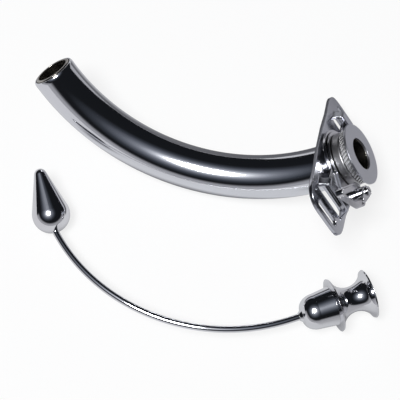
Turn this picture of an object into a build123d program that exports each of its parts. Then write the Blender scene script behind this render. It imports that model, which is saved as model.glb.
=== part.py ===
from build123d import *
from math import asin, cos, degrees, radians, sin, sqrt
import os

# Tracheostomy tube of polished metal: outer tube with neck plate, inner tube and pilot.
# The mouth of the inner tube is the origin, +Z is up and all lengths are in millimetres.

# How the tube lies on the table
mouth_azimuth = 14.05
mouth_elevation = 34.18
bend_roll = 44.27

# Outer tube
tube_radius = 5.0
tube_wall = 0.5
head_straight = 4.2
bend_radius = 47.7
bend_angle = 90.5
tip_length = 0.8
end_rounding = 0.3
tip_round = 0.12
collar_front = 2.2
collar_wall = 1.2
collar_round = 0.3

# Inner tube and its head
inner_clearance = 0.2
inner_wall = 0.6
inner_overhang = 0.2
disc_overhang = 0.85
disc_thickness = 0.5
disc_bevel = 0.1
ring_gap = 0.1
ring_bevel = 0.15
knurl_count = 44
knurl_width = 0.42
knurl_depth = 0.3
knurl_slant = 32.0

# Base flange behind the collar, with its two tongues
flange_width = 2.5
flange_thickness = 1.15
flange_step = 0.55
flange_groove_depth = 0.3
flange_front_rim = 0.35
flange_groove_width = 0.2
tongue_half_width = 3.0
tongue_thickness = 0.6
tongue_inset = 0.2

# Neck plate with its loops and tape slots
plate_gap = 0.8
plate_thickness = 0.8
plate_half_length = 19.7
plate_end_half_height = 5.9
plate_middle_margin = 2.8
plate_corner = 3.0
plate_end_bulge = 1.0
wing_start = 9.0
wing_bend_radius = 250.0
plate_hole_clearance = 1.1
tape_slot_inset = 2.1
tape_slot_length = 8.0
tape_slot_width = 1.9
loop_gap_share = 0.07
loop_share = 0.4
slit_share = 0.16
loop_side_clearance = 0.5
loop_top_clearance = 0.45
loop_thickness = 0.55
loop_splay = 1.3
slit_inner_width = 0.3

# Swivel lock: pivot, lever, raised finger and screw
pivot_up = -3.9
pivot_reach = 2.2
post_radius = 1.4
ear_thickness = 0.8
ear_margin = 0.1
post_height = 1.1
lever_gap = 0.05
lever_thickness = 1.6
hub_radius = 2.8
handle_rise = 4.9
handle_reach = 5.5
handle_radius = 1.0
rim_width = 0.4
rim_depth = 0.3
finger_angle = 85.0
sleeve_radius = 1.3
finger_reach = 3.4
finger_radius = 0.7
finger_gap = 0.12
finger_thickness = 0.5
screw_shank_radius = 0.6
screw_head_radius = 1.0
screw_head_thickness = 0.4
screw_slot_width = 0.35
screw_slot_depth = 0.2
screw_slot_angle = 20.0

# Pilot: tip, rod, stop and thumb spool
pilot_x = -5.08
pilot_y = -31.51
pilot_yaw = 20.76
rim_overhang = 1.62
rim_difference = 0.52
rim_edge = 0.3
spool_length = 8.39
spool_waist_radius = 2.9
stop_clearance = 0.05
stop_taper = 0.45
stop_shoulder = 4.2
stop_length = 8.3
stop_nose_radius = 1.5
stop_nose_length = 0.7
rod_radius = 0.76
rod_socket = 4.0
rod_straight = 9.72
rod_bend_radius = 43.47
rod_bend_angle = 81.97
rod_tang = 2.6
pilot_tip_clearance = 0.19
pilot_tip_end_radius = 1.45
pilot_tip_centres = 9.3
pilot_tip_azimuth = 107.2
pilot_tip_lift = 20.0

# Directions of the tube: out of the mouth, towards the bend's centre and across the bend
az, el, roll = radians(mouth_azimuth), radians(mouth_elevation), radians(bend_roll)
out = Vector(cos(el) * cos(az), cos(el) * sin(az), sin(el))
rise = Vector(-sin(el) * cos(az), -sin(el) * sin(az), cos(el))
level = Vector(-sin(az), cos(az), 0)
up = rise * cos(roll) + level * sin(roll)
side = out.cross(up)
mouth = Vector(0, 0, 0)
mouth_axis = Axis(mouth, out)

# Radii and depths that follow from the sizes above
tube_bore = tube_radius - tube_wall
inner_radius = tube_bore - inner_clearance
inner_bore = inner_radius - inner_wall
tip_radius = tube_radius - end_rounding
collar_radius = tube_radius + collar_wall
disc_radius = collar_radius + disc_overhang
ring_back = collar_front - ring_gap
flange_radius = tube_radius + flange_width
flange_front_radius = flange_radius - flange_step
flange_groove_radius = flange_front_radius - flange_groove_depth
flange_front = head_straight
flange_back = flange_front + flange_thickness
tongue_front = flange_back - tongue_thickness
tongue_middle = flange_back - tongue_thickness / 2
plate_front = flange_back + plate_gap
plate_back = plate_front + plate_thickness
plate_middle = (plate_front + plate_back) / 2
plate_middle_half_height = tube_radius + plate_middle_margin
tape_slot_place = plate_half_length - tape_slot_inset
pivot_side = flange_radius + pivot_reach
post_edge = pivot_side + post_radius
wing_room = tape_slot_place - tape_slot_width / 2 - post_edge
loop_start = post_edge + wing_room * loop_gap_share
loop_width = wing_room * loop_share
slit_width = wing_room * slit_share
tongue_reach = loop_start + loop_width - tongue_inset
handle_up = pivot_up + handle_rise
handle_side = pivot_side + handle_reach
post_front = flange_front - post_height
lever_back = post_front - lever_gap
lever_front = lever_back - lever_thickness
finger_back = -finger_gap
finger_front = finger_back - finger_thickness
stop_radius = tube_bore - stop_clearance
stop_shoulder_radius = stop_radius - stop_taper
rim_radius = stop_radius + rim_overhang
end_rim_radius = rim_radius - rim_difference
pilot_tip_radius = tube_bore - pilot_tip_clearance


def across(depth):
    """Plane square to the mouth's axis, at a depth behind the mouth: x up, y to the side."""
    return Plane(origin=mouth - out * depth, x_dir=up, z_dir=out)


def beside(distance):
    """Plane square to the side direction: x up, y the depth behind the mouth."""
    return Plane(origin=mouth + side * distance, x_dir=up, z_dir=side)


# Plane along the mouth's axis for turned profiles: x is minus the depth, y the radius
along = Plane(origin=mouth, x_dir=out, z_dir=side)

# Plane through both wings: x to the side, y minus the depth
through = Plane(origin=mouth, x_dir=side, z_dir=up)

# The bend: its start, its centre and the frame at its far end
bend_start = mouth - out * head_straight
bend_centre = bend_start + up * bend_radius
bend_axis = Axis(bend_centre, side * -1)
turn = radians(bend_angle)
far_end = bend_centre - out * (bend_radius * sin(turn)) - up * (bend_radius * cos(turn))
far_way = up * sin(turn) - out * cos(turn)
far_plane = Plane(origin=far_end, x_dir=far_way, z_dir=side)
far_axis = Axis(far_end, far_way)

# The table that the bend's lowest point rests on
table = bend_centre.Z - bend_radius * sqrt(1 - side.Z**2) - tube_radius

# Outer tube: straight head, bend and rounded far end
with BuildPart() as outer_tube:
    with BuildSketch(across(head_straight)):
        Circle(tube_radius)
        Circle(tube_bore, mode=Mode.SUBTRACT)
    extrude(amount=head_straight - collar_front)
    with BuildSketch(across(head_straight)):
        Circle(tube_radius)
        Circle(tube_bore, mode=Mode.SUBTRACT)
    revolve(axis=bend_axis, revolution_arc=bend_angle)
    with BuildSketch(far_plane):
        with BuildLine():
            Polyline(
                (0, tube_radius),
                (0, tube_bore),
                (tip_length, tube_bore),
                (tip_length, tip_radius),
            )
            EllipticalCenterArc(
                (0, tip_radius), tip_length, tube_radius - tip_radius, arc_size=90
            )
        make_face()
    revolve(axis=far_axis)

# Collar soldered round the outer tube's head
with BuildPart() as outer_collar:
    with BuildSketch(along):
        with BuildLine():
            Polyline(
                (-collar_front, tube_radius),
                (-collar_front, collar_radius),
                (-head_straight, collar_radius),
                (-head_straight, tube_radius),
                close=True,
            )
        make_face()
    revolve(axis=mouth_axis)
    fillet(outer_collar.edges().group_by(SortBy.LENGTH)[-1], collar_round)

# Base flange: stepped rim, two tongues under the plate's loops and an ear for the lock
with BuildPart() as base_flange:
    with BuildSketch(along):
        groove_front = flange_front + flange_front_rim
        groove_back = groove_front + flange_groove_width
        with BuildLine():
            Polyline(
                (-flange_front, tube_radius),
                (-flange_front, flange_front_radius),
                (-groove_front, flange_front_radius),
                (-groove_front, flange_groove_radius),
                (-groove_back, flange_groove_radius),
                (-groove_back, flange_radius),
                (-flange_back, flange_radius),
                (-flange_back, tube_radius),
                close=True,
            )
        make_face()
    revolve(axis=mouth_axis)
    with BuildSketch(across(flange_back)):
        Rectangle(tongue_half_width * 2, tongue_reach * 2)
        Circle(tube_radius, mode=Mode.SUBTRACT)
    extrude(amount=tongue_thickness)
    with BuildSketch(across(flange_front + ear_thickness)):
        with BuildSketch(mode=Mode.PRIVATE) as ear_ends:
            Circle(tube_radius + 1)
            with Locations((pivot_up, pivot_side)):
                Circle(post_radius + ear_margin)
        add(make_hull(ear_ends.sketch.edges(), mode=Mode.PRIVATE))
        Circle(tube_radius, mode=Mode.SUBTRACT)
    extrude(amount=ear_thickness)

# Post of the lock, soldered to the ear
with BuildPart() as lock_post:
    with BuildSketch(across(flange_front)):
        with Locations((pivot_up, pivot_side)):
            Circle(post_radius)
            Circle(screw_shank_radius, mode=Mode.SUBTRACT)
    extrude(amount=post_height)

# Lever of the lock: handle, hub, and a sleeve that carries a finger over the disc's height
turned = radians(finger_angle)
finger_end = (
    pivot_up + finger_reach * cos(turned),
    pivot_side + finger_reach * sin(turned),
)
with BuildPart() as lock_lever:
    with BuildSketch(across(lever_back)):
        with BuildSketch(mode=Mode.PRIVATE) as handle_ends:
            with Locations((pivot_up, pivot_side)):
                Circle(hub_radius)
            with Locations((handle_up, handle_side)):
                Circle(handle_radius)
        add(make_hull(handle_ends.sketch.edges(), mode=Mode.PRIVATE))
    extrude(amount=lever_thickness)
    with BuildSketch(across(lever_front)):
        with BuildSketch(mode=Mode.PRIVATE) as rim_ends:
            with Locations((pivot_up, pivot_side)):
                Circle(hub_radius - rim_width)
            with Locations((handle_up, handle_side)):
                Circle(handle_radius - rim_width)
        add(make_hull(rim_ends.sketch.edges(), mode=Mode.PRIVATE))
    extrude(amount=-rim_depth, mode=Mode.SUBTRACT)
    with BuildSketch(across(lever_front + rim_depth)):
        with Locations((pivot_up, pivot_side)):
            Circle(sleeve_radius)
    extrude(amount=lever_front + rim_depth - finger_front)
    with BuildSketch(across(finger_back)):
        with BuildSketch(mode=Mode.PRIVATE) as finger_ends:
            with Locations((pivot_up, pivot_side)):
                Circle(sleeve_radius)
            with Locations(finger_end):
                Circle(finger_radius)
        add(make_hull(finger_ends.sketch.edges(), mode=Mode.PRIVATE))
    extrude(amount=finger_thickness)
    with BuildSketch(across(lever_back)):
        with Locations((pivot_up, pivot_side)):
            Circle(screw_shank_radius + lever_gap)
    extrude(amount=lever_back - finger_front, mode=Mode.SUBTRACT)

# Slotted screw that the lever turns on
head_back = finger_front - lever_gap
with BuildPart() as lock_screw:
    with BuildSketch(across(flange_front)):
        with Locations((pivot_up, pivot_side)):
            Circle(screw_shank_radius)
    extrude(amount=flange_front - head_back)
    with BuildSketch(across(head_back)):
        with Locations((pivot_up, pivot_side)):
            Circle(screw_head_radius)
    extrude(amount=screw_head_thickness)
    with BuildSketch(across(head_back - screw_head_thickness)):
        with Locations((pivot_up, pivot_side)):
            Rectangle(
                screw_head_radius * 2.4, screw_slot_width, rotation=screw_slot_angle
            )
    extrude(amount=-screw_slot_depth, mode=Mode.SUBTRACT)

# Neck plate: two wings bent back, tape slots, and loops pressed out over the tongues
wing_sweep = degrees((plate_half_length - wing_start) / wing_bend_radius)
loop_half = tongue_half_width + loop_side_clearance
loop_inner = tongue_front - loop_top_clearance
loop_outer = loop_inner - loop_thickness
window_half = loop_half + loop_splay
window_start = loop_start - slit_inner_width
window_end = loop_start + loop_width + slit_width
with BuildPart() as neck_plate:
    with BuildSketch(through):
        with BuildLine():
            Line((-wing_start, -plate_middle), (wing_start, -plate_middle))
            JernArc((wing_start, -plate_middle), (1, 0), wing_bend_radius, -wing_sweep)
            JernArc((-wing_start, -plate_middle), (-1, 0), wing_bend_radius, wing_sweep)
        trace(line_width=plate_thickness)
    extrude(amount=plate_middle_half_height + 1, both=True)
    with BuildSketch(across(plate_back + plate_thickness * 4)) as outline:
        with BuildLine():
            ends, half = plate_end_half_height, plate_half_length
            waist, corner = plate_middle_half_height, half - plate_end_bulge
            ThreePointArc((ends, -corner), (waist, 0), (ends, corner))
            ThreePointArc((ends, corner), (0, half), (-ends, corner))
            ThreePointArc((-ends, corner), (-waist, 0), (-ends, -corner))
            ThreePointArc((-ends, -corner), (0, -half), (ends, -corner))
        make_face()
        fillet(outline.vertices(), plate_corner)
    extrude(amount=plate_thickness * 6, mode=Mode.INTERSECT)
    for way in (-1, 1):
        with BuildSketch(beside(way * loop_start)) as loop:
            with BuildLine():
                Polyline(
                    (window_half + loop_thickness * 1.6, plate_middle),
                    (loop_half + loop_thickness, loop_outer),
                    (-loop_half - loop_thickness, loop_outer),
                    (-window_half - loop_thickness * 1.6, plate_middle),
                    close=True,
                )
            make_face()
            fillet(loop.vertices().group_by(Axis.Y)[0], loop_thickness * 3)
        extrude(amount=way * loop_width)
    for way in (-1, 1):
        with BuildSketch(beside(way * window_start)) as hollow:
            with BuildLine():
                Polyline(
                    (window_half, plate_back + 1),
                    (window_half, plate_middle),
                    (loop_half, loop_inner),
                    (-loop_half, loop_inner),
                    (-window_half, plate_middle),
                    (-window_half, plate_back + 1),
                    close=True,
                )
            make_face()
            fillet(hollow.vertices().group_by(Axis.Y)[0], loop_thickness * 2)
        extrude(amount=way * (window_end - window_start), mode=Mode.SUBTRACT)
    with BuildSketch(across(plate_back + plate_thickness * 4)):
        Circle(tube_radius + plate_hole_clearance)
        with Locations((0, tape_slot_place), (0, -tape_slot_place)):
            SlotOverall(tape_slot_length, tape_slot_width)
    extrude(amount=plate_thickness * 6, mode=Mode.SUBTRACT)

# Inner tube: slides in the outer tube round the same centre
with BuildPart() as inner_tube:
    with BuildSketch(across(head_straight)):
        Circle(inner_radius)
        Circle(inner_bore, mode=Mode.SUBTRACT)
    extrude(amount=head_straight - disc_thickness)
    with BuildSketch(across(head_straight)):
        Circle(inner_radius)
        Circle(inner_bore, mode=Mode.SUBTRACT)
    revolve(axis=bend_axis, revolution_arc=bend_angle)
    with BuildSketch(far_plane):
        with BuildLine():
            Polyline(
                (0, inner_bore),
                (tip_length + inner_overhang, inner_bore),
                (tip_length + inner_overhang, inner_radius - tip_round),
                (tip_length + inner_overhang - tip_round, inner_radius),
                (0, inner_radius),
                close=True,
            )
        make_face()
    revolve(axis=far_axis)

# Knurled ring behind the disc
with BuildPart() as knurled_ring:
    with BuildSketch(along):
        with BuildLine():
            Polyline(
                (-disc_thickness, inner_radius),
                (-disc_thickness, collar_radius - ring_bevel),
                (-disc_thickness - ring_bevel, collar_radius),
                (-ring_back + ring_bevel, collar_radius),
                (-ring_back, collar_radius - ring_bevel),
                (-ring_back, inner_radius),
                close=True,
            )
        make_face()
    revolve(axis=mouth_axis)
    with Locations(across((disc_thickness + ring_back) / 2)):
        with PolarLocations(collar_radius, knurl_count):
            Box(
                knurl_depth * 2,
                knurl_width,
                (ring_back - disc_thickness) * 1.6,
                rotation=(knurl_slant, 0, 0),
                mode=Mode.SUBTRACT,
            )

# Flat disc of the inner tube's head, bored as the tube is
with BuildPart() as inner_disc:
    with BuildSketch(along):
        with BuildLine():
            Polyline(
                (0, inner_bore),
                (0, disc_radius - disc_bevel),
                (-disc_bevel, disc_radius),
                (-disc_thickness, disc_radius),
                (-disc_thickness, inner_bore),
                close=True,
            )
        make_face()
    revolve(axis=mouth_axis)

# The pilot lies on both rims of its spool and on its tip
tilt = asin((rim_radius - end_rim_radius) / spool_length)
sweep = radians(rod_bend_angle)
run_out = rod_straight + rod_bend_radius * sin(sweep)
run_across = rod_bend_radius * (1 - cos(sweep))
rim_height = rim_radius * cos(tilt)
drop = rim_height + run_out * sin(tilt) - pilot_tip_radius
sink = asin(drop / (run_across * cos(tilt)))
yaw = radians(pilot_yaw)
heading = Vector(cos(yaw), sin(yaw), 0)
left = Vector(-sin(yaw), cos(yaw), 0)
thumb = heading * cos(tilt) - Vector(0, 0, sin(tilt))
above = heading * sin(tilt) + Vector(0, 0, cos(tilt))
inward = left * cos(sink) - above * sin(sink)
face = thumb.cross(inward)
rim = Vector(pilot_x, pilot_y, table + rim_height)
pilot_plane = Plane(origin=rim, x_dir=thumb, z_dir=face)
pilot_axis = Axis(rim, thumb)

# Thumb spool: two sharp rims and a waist between them
with BuildPart() as thumb_spool:
    with BuildSketch(pilot_plane):
        with BuildLine():
            Polyline(
                (rim_edge, rim_radius - rim_edge / 2),
                (0, rim_radius),
                (-rim_edge, stop_radius),
                (-rim_edge, 0),
                (spool_length - rim_edge, 0),
                (spool_length, end_rim_radius),
                (spool_length - rim_edge, end_rim_radius - rim_edge / 2),
            )
            ThreePointArc(
                (spool_length - rim_edge, end_rim_radius - rim_edge / 2),
                (spool_length / 2, spool_waist_radius),
                (rim_edge, rim_radius - rim_edge / 2),
            )
        make_face()
    revolve(axis=pilot_axis)

# Stop: tapered plug with a round nose that closes the tube's mouth, bored for the rod
with BuildPart() as pilot_stop:
    nose_base = stop_length - stop_nose_length
    with BuildSketch(pilot_plane):
        with BuildLine():
            Polyline(
                (-nose_base, stop_nose_radius),
                (-stop_length, rod_radius + 0.15),
                (-stop_length, rod_radius),
                (-rod_socket, rod_radius),
                (-rod_socket, 0),
                (-rim_edge, 0),
                (-rim_edge, stop_radius),
                (-stop_shoulder, stop_shoulder_radius),
            )
            EllipticalCenterArc(
                (-stop_shoulder, stop_nose_radius),
                nose_base - stop_shoulder,
                stop_shoulder_radius - stop_nose_radius,
                start_angle=90,
                arc_size=90,
            )
        make_face()
    revolve(axis=pilot_axis)

# Rod: straight in the stop, then one long bend and a straight tang in the tip
rod_start = rim - thumb * rod_straight
rod_centre = rod_start + inward * rod_bend_radius
rod_end = rod_centre - thumb * (rod_bend_radius * sin(sweep)) - inward * (
    rod_bend_radius * cos(sweep)
)
rod_way = inward * sin(sweep) - thumb * cos(sweep)
with BuildPart() as pilot_rod:
    with BuildSketch(Plane(origin=rod_start, x_dir=inward, z_dir=thumb)):
        Circle(rod_radius)
    extrude(amount=rod_straight - rod_socket)
    with BuildSketch(Plane(origin=rod_start, x_dir=inward, z_dir=thumb)):
        Circle(rod_radius)
    revolve(axis=Axis(rod_centre, face * -1), revolution_arc=rod_bend_angle)
    with BuildSketch(Plane(origin=rod_end, x_dir=face, z_dir=rod_way)):
        Circle(rod_radius)
    extrude(amount=rod_tang)

# Tip: round base on the table and a straight taper that rises to a small round nose
tip_yaw, tip_lift = radians(pilot_tip_azimuth), radians(pilot_tip_lift)
tip_level = Vector(cos(tip_yaw), sin(tip_yaw), 0)
tip_way = tip_level * cos(tip_lift) + Vector(0, 0, sin(tip_lift))
bulb = rod_end + tip_level * (pilot_tip_radius - 0.1)
flank = asin((pilot_tip_radius - pilot_tip_end_radius) / pilot_tip_centres)
with BuildPart() as pilot_tip:
    with BuildSketch(Plane(origin=bulb, x_dir=tip_way, z_dir=tip_level.cross(tip_way))):
        with BuildLine():
            big, small, span = pilot_tip_radius, pilot_tip_end_radius, pilot_tip_centres
            touch_big = (big * sin(flank), big * cos(flank))
            touch_small = (span + small * sin(flank), small * cos(flank))
            CenterArc((0, 0), big, 90 - degrees(flank), 90 + degrees(flank))
            Line(touch_big, touch_small)
            CenterArc((span, 0), small, 0, 90 - degrees(flank))
            Line((-big, 0), (span + small, 0))
        make_face()
    revolve(axis=Axis(bulb, tip_way))
    with BuildSketch(Plane(origin=rod_end - rod_way, x_dir=face, z_dir=rod_way)):
        Circle(rod_radius)
    extrude(amount=rod_tang + 1, mode=Mode.SUBTRACT)

# Each piece goes to a file of its own
pieces = {
    "outer_tube": outer_tube,
    "outer_collar": outer_collar,
    "base_flange": base_flange,
    "lock_post": lock_post,
    "lock_lever": lock_lever,
    "lock_screw": lock_screw,
    "neck_plate": neck_plate,
    "inner_tube": inner_tube,
    "knurled_ring": knurled_ring,
    "inner_disc": inner_disc,
    "thumb_spool": thumb_spool,
    "pilot_stop": pilot_stop,
    "pilot_rod": pilot_rod,
    "pilot_tip": pilot_tip,
}
os.makedirs("parts", exist_ok=True)
for name, piece in pieces.items():
    piece.part.label = name
    export_step(piece.part, f"parts/{name}.step")
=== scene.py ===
import math

import bmesh
import bpy
from mathutils import Matrix, Vector


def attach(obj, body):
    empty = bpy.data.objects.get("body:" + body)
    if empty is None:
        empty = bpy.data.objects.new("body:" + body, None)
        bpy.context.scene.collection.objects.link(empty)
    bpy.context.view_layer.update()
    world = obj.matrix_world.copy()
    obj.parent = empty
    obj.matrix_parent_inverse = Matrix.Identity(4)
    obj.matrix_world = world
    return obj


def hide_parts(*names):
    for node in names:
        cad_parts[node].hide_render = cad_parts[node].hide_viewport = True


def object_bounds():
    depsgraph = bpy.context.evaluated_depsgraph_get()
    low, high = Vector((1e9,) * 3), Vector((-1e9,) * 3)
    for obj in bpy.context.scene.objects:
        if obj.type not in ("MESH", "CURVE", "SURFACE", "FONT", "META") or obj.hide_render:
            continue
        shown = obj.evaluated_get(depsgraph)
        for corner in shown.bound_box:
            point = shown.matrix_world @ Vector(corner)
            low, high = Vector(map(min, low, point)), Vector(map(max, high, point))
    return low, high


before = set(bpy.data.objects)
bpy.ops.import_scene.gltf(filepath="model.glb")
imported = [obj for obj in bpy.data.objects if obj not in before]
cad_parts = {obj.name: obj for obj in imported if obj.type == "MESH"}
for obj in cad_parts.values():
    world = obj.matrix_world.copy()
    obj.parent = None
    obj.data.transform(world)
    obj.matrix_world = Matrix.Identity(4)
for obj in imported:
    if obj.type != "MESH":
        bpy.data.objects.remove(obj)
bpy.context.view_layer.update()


# OUTER AND INNER TUBE
# Two drawn tubes of silver-plated metal, one sliding in the other on the same bend.
# They are turned on the buff, so fine polishing marks run round them.
class Shade:
    """A socket of a material. Sums, differences and products of sockets add Math nodes."""

    def __init__(self, tree, socket=None):
        self.tree = tree
        self.socket = socket

    def node(self, kind, settings=None, inputs=None, output=0):
        """Adds a node: its settings come first, then the values or links of its sockets."""
        made = self.tree.nodes.new(kind)
        for key, value in (settings or {}).items():
            setattr(made, key, value)
        for key, value in (inputs or {}).items():
            self.join(value, made.inputs[key])
        return Shade(self.tree, made.outputs[output])

    def join(self, value, socket):
        """Links a socket to another one, or sets it to a constant."""
        if isinstance(value, Shade):
            self.tree.links.new(value.socket, socket)
        else:
            socket.default_value = value

    def math(self, operation, *values):
        return self.node("ShaderNodeMath", {"operation": operation}, dict(enumerate(values)))

    def vector_math(self, operation, *values, output=0):
        return self.node(
            "ShaderNodeVectorMath", {"operation": operation}, dict(enumerate(values)), output
        )

    def along(self, way):
        """How far this vector reaches along a direction."""
        return self.vector_math("DOT_PRODUCT", self, tuple(way), output="Value")

    def part(self, axis):
        """One component of this vector."""
        return self.node("ShaderNodeSeparateXYZ", {}, {"Vector": self}, axis)

    def noise(self, dimensions, place, scale, detail, roughness=0.5):
        """Noise read at this socket: a vector, or one number where it has one dimension."""
        return self.node(
            "ShaderNodeTexNoise",
            {"noise_dimensions": dimensions},
            {place: self, "Scale": scale, "Detail": detail, "Roughness": roughness},
        )

    def ramp(self, *stops):
        """Colours by this socket's value, from pairs of a place and a colour."""
        made = self.node("ShaderNodeValToRGB", {}, {0: self})
        elements = made.socket.node.color_ramp.elements
        while len(elements) < len(stops):
            elements.new(0.5)
        for element, (place, colour) in zip(elements, stops):
            element.position = place
            element.color = (*colour, 1.0)
        return made

    def from_to(self, start, end):
        """This socket's way from one value to another, as 0 to 1."""
        return self.node("ShaderNodeMapRange", {}, {0: self, 1: start, 2: end, 3: 0.0, 4: 1.0})

    def mix(self, first, second, factor=1.0, blend="MIX"):
        """A mix of two colours."""
        return self.node(
            "ShaderNodeMix",
            {"data_type": "RGBA", "blend_type": blend},
            {0: factor, 6: first, 7: second},
            2,
        )

    def crevices(self, distance):
        """How open the surface lies: 1 where nothing stands nearer than the distance."""
        return self.node(
            "ShaderNodeAmbientOcclusion", {"samples": 8}, {"Distance": distance}, "AO"
        )

    def __add__(self, other):
        return self.math("ADD", self, other)

    def __sub__(self, other):
        return self.math("SUBTRACT", self, other)

    def __mul__(self, other):
        return self.math("MULTIPLY", self, other)

    __radd__ = __add__


mouth_axis = (0.802528, 0.200837, 0.561795)
bend_inward = (-0.559706, 0.579498, 0.592378)
bend_centre = (-0.030069, 0.026799, 0.025897)


def tube_marks(place):
    """Buffing marks round the bent tubes: they change only with the angle of the bend."""
    arm = place.vector_math("SUBTRACT", place, bend_centre)
    angle = arm.math("ARCTAN2", arm.along(mouth_axis), arm.along(bend_inward))
    return angle.noise("1D", "W", 900.0, 3.0)


def head_marks(place):
    """Lathe marks: they change along and away from the mouth's axis, but not round it."""
    depth = place.along(mouth_axis)
    reach = place.vector_math("LENGTH", place, output="Value")
    away = place.math("SQRT", place.math("MAXIMUM", reach * reach - depth * depth, 0.0))
    spot = place.node("ShaderNodeCombineXYZ", {}, {0: depth, 1: away})
    return spot.noise("2D", "Vector", 9000.0, 3.0, 0.7)


def polished_metal(name, bright, dull, rough, edge, haze=200.0, crevice_shade=0.5, marks=None):
    """Buffed metal: haze from handling, fine marks, painted shade in crevices and edges worn
    round.

    Bright and dull are its colours where it is clean and hazed, the crevice shade is how much
    of them the painted shade in crevices keeps, edge is the radius of the edges in metres,
    and haze is the clouds' scale.
    """
    fine_scale = 2800.0
    crevice_width = 0.0012
    scratch_depth = 0.00002
    material = bpy.data.materials.new(name)
    material.use_nodes = True
    metal = material.node_tree.nodes["Principled BSDF"]
    metal.inputs["Metallic"].default_value = 1.0
    shade = Shade(material.node_tree)
    place = shade.node("ShaderNodeTexCoord", output="Object")
    cloud = place.noise("3D", "Vector", haze, 4.0, 0.55)
    fine = place.noise("3D", "Vector", fine_scale, 3.0, 0.6)
    if marks:
        fine = fine * 0.5 + marks(place) * 0.5
    tint = shade.mix((*bright, 1.0), (*dull, 1.0), cloud)
    # Painted shade: the colour darkens towards the crevice shade, with a faint warm tint,
    # where other surfaces stand near
    painted_crevice_shade = shade.crevices(crevice_width).ramp(
        (0.25, (crevice_shade, crevice_shade, crevice_shade * 0.94)), (0.75, (1.0, 1.0, 1.0))
    )
    shade.join(shade.mix(tint, painted_crevice_shade, blend="MULTIPLY"), metal.inputs["Base Color"])
    shade.join(rough + cloud * 0.05 + fine * 0.03, metal.inputs["Roughness"])
    rounded = shade.node("ShaderNodeBevel", {"samples": 8}, {"Radius": edge})
    bump = shade.node(
        "ShaderNodeBump",
        {},
        {"Strength": 0.08, "Distance": scratch_depth, "Height": fine, "Normal": rounded},
    )
    shade.join(bump, metal.inputs["Normal"])
    return material


def dress(material, *nodes):
    """Gives solids of the frame a material in place of their plain one."""
    for node in nodes:
        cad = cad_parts[node]
        cad.data.materials.clear()
        cad.data.materials.append(material)


tube_metal = polished_metal(
    "tube_metal", (0.84, 0.85, 0.89), (0.76, 0.77, 0.81),
    rough=0.05, edge=0.00012, haze=90.0, marks=tube_marks,
)
dress(tube_metal, "outer_tube")
inner_metal = polished_metal(
    "inner_metal", (0.58, 0.56, 0.53), (0.36, 0.33, 0.29),
    rough=0.15, edge=0.00010, marks=tube_marks,
)
dress(inner_metal, "inner_tube")

# COLLAR, FLANGE AND LOCK POST
# Turned rings soldered round the outer tube's head. The collar is left duller than the
# rest, its tone mottled darker at random, with deeper painted shade in its crevices. The
# flange has two flat tongues and an ear below.
collar_metal = polished_metal(
    "collar_metal", (0.66, 0.66, 0.67), (0.36, 0.36, 0.37),
    rough=0.32, edge=0.00025, haze=420.0, crevice_shade=0.3, marks=head_marks,
)
dress(collar_metal, "outer_collar")
flange_metal = polished_metal(
    "flange_metal", (0.74, 0.74, 0.77), (0.60, 0.60, 0.63),
    rough=0.10, edge=0.00012, haze=300.0, crevice_shade=0.3, marks=head_marks,
)
dress(flange_metal, "base_flange", "lock_post")

# INNER TUBE'S HEAD
# A flat disc, faced on the lathe and left satin, with a knurled ring behind it to turn it
# by. Both are soldered to the inner tube.
disc_metal = polished_metal(
    "disc_metal", (0.66, 0.67, 0.72), (0.58, 0.59, 0.64),
    rough=0.30, edge=0.00012, haze=150.0, crevice_shade=0.6, marks=head_marks,
)
dress(disc_metal, "inner_disc")
# Painted shade turns the knurl's grooves nearly black between its bright lands.
knurl_metal = polished_metal(
    "knurl_metal", (0.97, 0.97, 0.99), (0.88, 0.88, 0.90),
    rough=0.42, edge=0.00005, haze=300.0, crevice_shade=0.05,
)
dress(knurl_metal, "knurled_ring")

# NECK PLATE
# One sheet of metal, pressed and pierced. Its loops stand out over the flange's tongues
# and hang on them loosely, so it lies turned a little. It is buffed, but duller than the
# tube. Lengths are in millimetres: rise up the head, aside from it, depth behind the mouth.
plate_metal = polished_metal(
    "plate_metal", (0.66, 0.67, 0.72), (0.48, 0.49, 0.54),
    rough=0.15, edge=0.00030, haze=140.0, crevice_shade=0.2,
)
plate_turn = math.radians(3.0)
head_out = Vector(mouth_axis)
head_up = Vector(bend_inward)
head_side = head_out.cross(head_up)
plate_up = head_up * math.cos(plate_turn) + head_side * math.sin(plate_turn)
plate_side = head_side * math.cos(plate_turn) - head_up * math.sin(plate_turn)
per_metre = 1000.0
plate_front = 6.15
plate_back = 6.95
flat_half_height = 2.5
curl_start = 5.0
curl_room = 5.0
upper_curl = 0.012
lower_curl = -0.035
wing_start = 9.0
wing_bend_radius = 250.0


def plate_point(rise, aside, depth):
    """A place on the plate as it lies: the lower long edge is turned back, and the upper
    one slightly forward, where they are clear of the flange, and the wings sweep back."""
    share = min(max(abs(aside) - curl_start, 0.0) / curl_room, 1.0)
    curl = share * max(abs(rise) - flat_half_height, 0.0) ** 2
    curl *= upper_curl if rise > 0 else lower_curl
    sweep = max(abs(aside) - wing_start, 0.0) ** 2 / (2.0 * wing_bend_radius)
    spot = plate_up * rise + plate_side * aside - head_out * (depth - curl + sweep)
    return spot / per_metre


def placed(name, data):
    """A new object in the scene."""
    made = bpy.data.objects.new(name, data)
    bpy.context.scene.collection.objects.link(made)
    return made


def modelled(name, points, faces):
    """A new object with a mesh of its own."""
    mesh = bpy.data.meshes.new(name)
    mesh.from_pydata([tuple(point) for point in points], [], faces)
    return placed(name, mesh)


def prism(name, front_ring, back_ring):
    """A closed block between two rings of as many corners."""
    count = len(front_ring)
    faces = [tuple(range(count)), tuple(range(2 * count - 1, count - 1, -1))]
    for index in range(count):
        following = (index + 1) % count
        faces.append((index, index + count, following + count, following))
    return modelled(name, front_ring + back_ring, faces)


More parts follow.
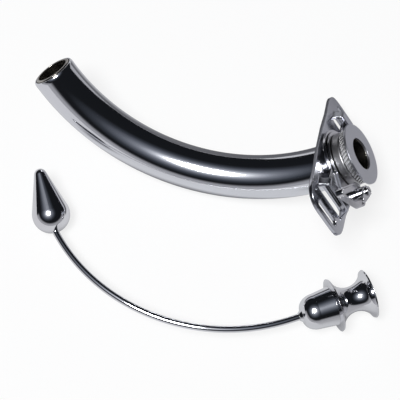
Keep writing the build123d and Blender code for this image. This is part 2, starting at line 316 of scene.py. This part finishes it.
punch_front = 4.0
punch_back = 9.0


def punch(name, outline):
    """A block that reaches right through the plate, from an outline of (rise, aside)."""
    flat = [plate_up * rise + plate_side * aside for rise, aside in outline]
    return prism(
        name,
        [(spot - head_out * punch_front) / per_metre for spot in flat],
        [(spot - head_out * punch_back) / per_metre for spot in flat],
    )


def bowed(start, middle, end, steps):
    """Points of a shallow arc, drawn as a parabola through three points."""
    points = []
    for step in range(steps + 1):
        t = step / steps
        points.append(
            tuple(
                a * (1 - t) * (1 - 2 * t) + b * 4 * t * (1 - t) + c * t * (2 * t - 1)
                for a, b, c in zip(start, middle, end)
            )
        )
    return points


def rounded(start, corner, end, steps):
    """Points of a rounding between two points, pulled towards the corner that it cuts."""
    points = []
    for step in range(1, steps):
        t = step / steps
        points.append(
            tuple(
                a * (1 - t) ** 2 + b * 2 * t * (1 - t) + c * t * t
                for a, b, c in zip(start, corner, end)
            )
        )
    return points


def edited(mesh, change):
    """Runs a change on a mesh through bmesh."""
    shell = bmesh.new()
    shell.from_mesh(mesh)
    change(shell)
    shell.to_mesh(mesh)
    shell.free()


def face_outwards(shell):
    bmesh.ops.recalc_face_normals(shell, faces=shell.faces)


def close_cracks(shell):
    """Joins the pairs of points that cutting and rounding leave a few micrometres apart."""
    bmesh.ops.remove_doubles(shell, verts=shell.verts, dist=0.000004)
    bmesh.ops.dissolve_degenerate(shell, edges=shell.edges, dist=0.000001)


# The sheet before it is punched, as a grid on its front and its back
sheet_half_height = 9.0
sheet_half_length = 21.0
sheet_step = 0.5
rise_count = round(2.0 * sheet_half_height / sheet_step) + 1
aside_count = round(2.0 * sheet_half_length / sheet_step) + 1
rises = [-sheet_half_height + sheet_step * step for step in range(rise_count)]
asides = [-sheet_half_length + sheet_step * step for step in range(aside_count)]
front_sheet = [plate_point(rise, aside, plate_front) for rise in rises for aside in asides]
back_sheet = [plate_point(rise, aside, plate_back) for rise in rises for aside in asides]
back_start = len(front_sheet)
faces = []
for row in range(rise_count - 1):
    for column in range(aside_count - 1):
        at = row * aside_count + column
        quad = (at, at + 1, at + aside_count + 1, at + aside_count)
        faces.append(quad)
        faces.append(tuple(back_start + spot for spot in reversed(quad)))
rim = list(range(aside_count))
rim += [row * aside_count + aside_count - 1 for row in range(1, rise_count)]
rim += [back_start - 1 - column for column in range(1, aside_count)]
rim += [row * aside_count for row in range(rise_count - 2, 0, -1)]
for spot, following in zip(rim, rim[1:] + rim[:1]):
    faces.append((spot, spot + back_start, following + back_start, following))
plate = modelled("neck_plate_pressed", front_sheet + back_sheet, faces)

# The outline, with bowed sides and widely rounded ends
plate_half_length = 19.7
end_upper_height = 7.4
end_lower_height = 6.7
middle_half_height = 7.47
end_corner = 19.9
corner_cut = 5.0
side_steps = 60
rounding_steps = 8
corners = [
    (end_upper_height, -end_corner),
    (end_upper_height, end_corner),
    (-end_lower_height, end_corner),
    (-end_lower_height, -end_corner),
]
middles = [
    (middle_half_height, 0.0),
    (0.0, plate_half_length),
    (-middle_half_height, 0.0),
    (0.0, -plate_half_length),
]
sides = []
for index, corner in enumerate(corners):
    following = corners[(index + 1) % 4]
    skip = corner_cut / math.dist(corner, following)
    side = bowed(corner, middles[index], following, side_steps)
    sides.append([p for k, p in enumerate(side) if skip < k / side_steps < 1 - skip])
outline = []
for index, side in enumerate(sides):
    following = (index + 1) % 4
    next_point = sides[following][0]
    outline += side + rounded(side[-1], corners[following], next_point, rounding_steps)

# The hole for the collar, and on each wing the window behind the loop and the tape slot
hole_radius = 6.1
hole_steps = 64
window_half_height = 5.03
window_start = 11.2
window_end = 14.35
tape_slot_place = 17.6
tape_slot_half_straight = 2.75
tape_slot_half_width = 0.95
slot_steps = 32
cutters = [("INTERSECT", punch("plate_outline", outline))]
hole = [
    (
        hole_radius * math.cos(step * math.tau / hole_steps),
        hole_radius * math.sin(step * math.tau / hole_steps),
    )
    for step in range(hole_steps)
]
cutters.append(("DIFFERENCE", punch("plate_hole", hole)))
for way in (-1.0, 1.0):
    window = [
        (window_half_height, window_start * way),
        (window_half_height, window_end * way),
        (-window_half_height, window_end * way),
        (-window_half_height, window_start * way),
    ]
    cutters.append(("DIFFERENCE", punch("loop_window", window)))
    slot = []
    for step in range(slot_steps):
        turn = (step + 0.5) * math.tau / slot_steps
        rise = tape_slot_half_width * math.cos(turn)
        rise += math.copysign(tape_slot_half_straight, math.cos(turn))
        slot.append((rise, tape_slot_place * way + tape_slot_half_width * math.sin(turn)))
    cutters.append(("DIFFERENCE", punch("tape_slot", slot)))

# The loops, each a strip that falls back into the sheet in a soft curve at both ends
loop_start = 11.5
loop_end = 13.7
loop_half_height = 5.9
loop_flat_half = 3.75
loop_fall_length = 1.75
loop_front = 3.75
loop_fall = 2.5
loop_foot = 6.85
loop_thickness = 0.55
loop_step = 0.2
loop_outer, loop_inner = [], []
for step in range(round(2.0 * loop_half_height / loop_step) + 1):
    rise = -loop_half_height + loop_step * step
    fall = min(max((abs(rise) - loop_flat_half) / loop_fall_length, 0.0), 1.0)
    depth = loop_front + loop_fall * fall * fall * (3.0 - 2.0 * fall)
    slope = loop_fall * 6.0 * fall * (1.0 - fall) / loop_fall_length
    behind_strip = depth + loop_thickness * math.sqrt(1.0 + slope * slope)
    loop_outer.append((rise, depth))
    loop_inner.append((rise, min(behind_strip, loop_foot)))
loop_ring = loop_outer + loop_inner[::-1]
for way in (-1.0, 1.0):
    loop = prism(
        "plate_loop",
        [plate_point(rise, loop_start * way, depth) for rise, depth in loop_ring],
        [plate_point(rise, loop_end * way, depth) for rise, depth in loop_ring],
    )
    cutters.append(("UNION", loop))

# All of it joined, with the edges rounded
edited(plate.data, face_outwards)
for operation, cutter in cutters:
    edited(cutter.data, face_outwards)
    change = plate.modifiers.new("cut", "BOOLEAN")
    change.operation = operation
    change.solver = "EXACT"
    change.object = cutter
worn = plate.modifiers.new("worn_edges", "BEVEL")
worn.width = 0.00014
worn.segments = 3
worn.limit_method = "ANGLE"
worn.angle_limit = math.radians(40.0)
bpy.context.view_layer.update()
pressed = bpy.data.meshes.new_from_object(
    plate.evaluated_get(bpy.context.evaluated_depsgraph_get())
)
plate.modifiers.clear()
plate.data = pressed
for _, cutter in cutters:
    bpy.data.objects.remove(cutter)
edited(pressed, close_cracks)
pressed.shade_smooth()
pressed.set_sharp_from_angle(angle=math.radians(35.0))
pressed.materials.clear()
pressed.materials.append(plate_metal)
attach(plate, "plate")
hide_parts("neck_plate")

# SWIVEL LOCK
# A cast lever with a raised rim and a finger that swings over the disc, held by a slotted
# screw on the flange's post.
lock_metal = polished_metal(
    "lock_metal", (0.74, 0.74, 0.77), (0.60, 0.60, 0.63),
    rough=0.09, edge=0.00015, haze=300.0, crevice_shade=0.3,
)
dress(lock_metal, "lock_lever", "lock_screw")

# PILOT
# Turned spool and stop, bent rod and turned tip, soldered into one loose piece and buffed
# to a mirror.
pilot_metal = polished_metal(
    "pilot_metal", (0.84, 0.84, 0.86), (0.76, 0.76, 0.79),
    rough=0.03, edge=0.00010, haze=150.0, crevice_shade=0.5,
)
dress(pilot_metal, "pilot_tip", "pilot_rod", "pilot_stop", "thumb_spool")

# TABLE, LIGHT AND CAMERA
# The set lies on white paper. Mirrored in the metal, the paper is darker than it looks:
# bright before the tube, mostly dark in the tube's bend, and shaded where something
# touches it.
table_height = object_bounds()[0][2]
table_reach = 3.0
table = modelled(
    "table",
    [
        (-table_reach, -table_reach, table_height),
        (table_reach, -table_reach, table_height),
        (table_reach, table_reach, table_height),
        (-table_reach, table_reach, table_height),
    ],
    [(0, 1, 2, 3)],
)
paper = bpy.data.materials.new("table_paper")
paper.use_nodes = True
surface = paper.node_tree.nodes["Principled BSDF"]
surface.inputs["Base Color"].default_value = (0.9, 0.9, 0.9, 1.0)
surface.inputs["Roughness"].default_value = 0.8
shade = Shade(paper.node_tree)
light_path = paper.node_tree.nodes.new("ShaderNodeLightPath")
camera_ray = Shade(paper.node_tree, light_path.outputs["Is Camera Ray"])
glossy_ray = Shade(paper.node_tree, light_path.outputs["Is Glossy Ray"])
through_ray = Shade(paper.node_tree, light_path.outputs["Is Transmission Ray"])
spot = shade.node("ShaderNodeNewGeometry", output="Position")
from_left = spot.part("X").from_to(-0.095, 0.02)
before_tube = from_left.ramp(
    (0.0, (0.66, 0.66, 0.68)),
    (0.5, (0.68, 0.69, 0.71)),
    (0.80, (0.62, 0.63, 0.65)),
    (0.92, (0.42, 0.42, 0.44)),
)
behind_tube = from_left.ramp(
    (0.05, (0.10, 0.10, 0.11)),
    (0.28, (0.60, 0.60, 0.62)),
    (0.36, (0.45, 0.45, 0.47)),
    (0.48, (0.15, 0.15, 0.16)),
    (0.76, (0.07, 0.07, 0.08)),
    (0.92, (0.42, 0.42, 0.45)),
)
flat_spot = spot.vector_math("MULTIPLY", spot, (1.0, 1.0, 0.0))
from_bend = spot.vector_math("DISTANCE", flat_spot, (-0.030, 0.048, 0.0), output="Value")
mirrored = shade.mix(before_tube, behind_tube, from_bend.from_to(0.060, 0.050))
contact = shade.crevices(0.007).ramp(
    (0.25, (0.10, 0.10, 0.11)), (0.60, (0.55, 0.55, 0.56)), (0.92, (1.0, 1.0, 1.0))
)
shaded = shade.mix(mirrored, contact, blend="MULTIPLY")
seen = shade.mix((1.0, 1.0, 1.0, 1.0), shaded, glossy_ray)
glow = shade.node("ShaderNodeEmission", {}, {"Color": seen, "Strength": 1.0})
glow_share = (camera_ray + through_ray) * 0.8 + glossy_ray * 0.96
lit_paper = Shade(paper.node_tree, surface.outputs[0])
mixed = shade.node("ShaderNodeMixShader", {}, {0: glow_share, 1: lit_paper, 2: glow})
shade.join(mixed, paper.node_tree.nodes["Material Output"].inputs["Surface"])
table.data.materials.append(paper)

# The room is dark but for the glow round a soft light overhead and a low card in front
toward_light = Vector((-0.22, -0.19, 0.957)).normalized()
world = bpy.data.worlds.new("studio")
bpy.context.scene.world = world
world.use_nodes = True
background = world.node_tree.nodes["Background"]
background.inputs["Strength"].default_value = 1.0
sky = Shade(world.node_tree)
aim = sky.node("ShaderNodeTexCoord", output="Generated")
halo = aim.along(toward_light).ramp(
    (0.68, (0.009, 0.010, 0.012)),
    (0.80, (0.040, 0.045, 0.056)),
    (0.88, (0.12, 0.13, 0.155)),
    (0.925, (0.22, 0.235, 0.27)),
    (0.955, (0.46, 0.48, 0.53)),
    (0.978, (0.95, 0.97, 1.0)),
)
card_front = (aim.part("Y") * -1.0).ramp(
    (0.0, (0.0, 0.0, 0.0)), (0.15, (0.34, 0.34, 0.36)), (0.5, (0.36, 0.36, 0.38))
)
card_height = aim.part("Z").ramp((0.18, (1.0, 1.0, 1.0)), (0.36, (0.0, 0.0, 0.0)))
card = sky.mix(card_front, card_height, blend="MULTIPLY")
sky.join(sky.mix(halo, card, blend="ADD"), background.inputs["Color"])

lamp_distance = 1.1
lamp = bpy.data.lights.new("round_soft_box", "AREA")
lamp.shape = "DISK"
lamp.size = 0.40
lamp.energy = 11.0
lamp_object = placed("round_soft_box", lamp)
lamp_object.location = Vector((-0.03, 0.0, 0.0)) + toward_light * lamp_distance
lamp_object.rotation_euler = toward_light.to_track_quat("Z", "Y").to_euler()

# The camera stands where the fit to the photo puts it
photo_width = 400.0
focal_length_in_pixels = 1343.0
camera = bpy.data.cameras.new("camera")
camera.sensor_width = 36.0
camera.lens = focal_length_in_pixels / photo_width * camera.sensor_width
camera.clip_start = 0.01
camera_object = placed("camera", camera)
camera_object.matrix_world = Matrix(
    (
        (0.99969, -0.02495, 0.0, -0.035279),
        (0.02378, 0.95279, -0.30271, -0.099985),
        (0.00755, 0.30261, 0.95308, 0.278194),
        (0.0, 0.0, 0.0, 1.0),
    )
)
bpy.context.scene.camera = camera_object
bpy.context.scene.view_settings.view_transform = "Standard"
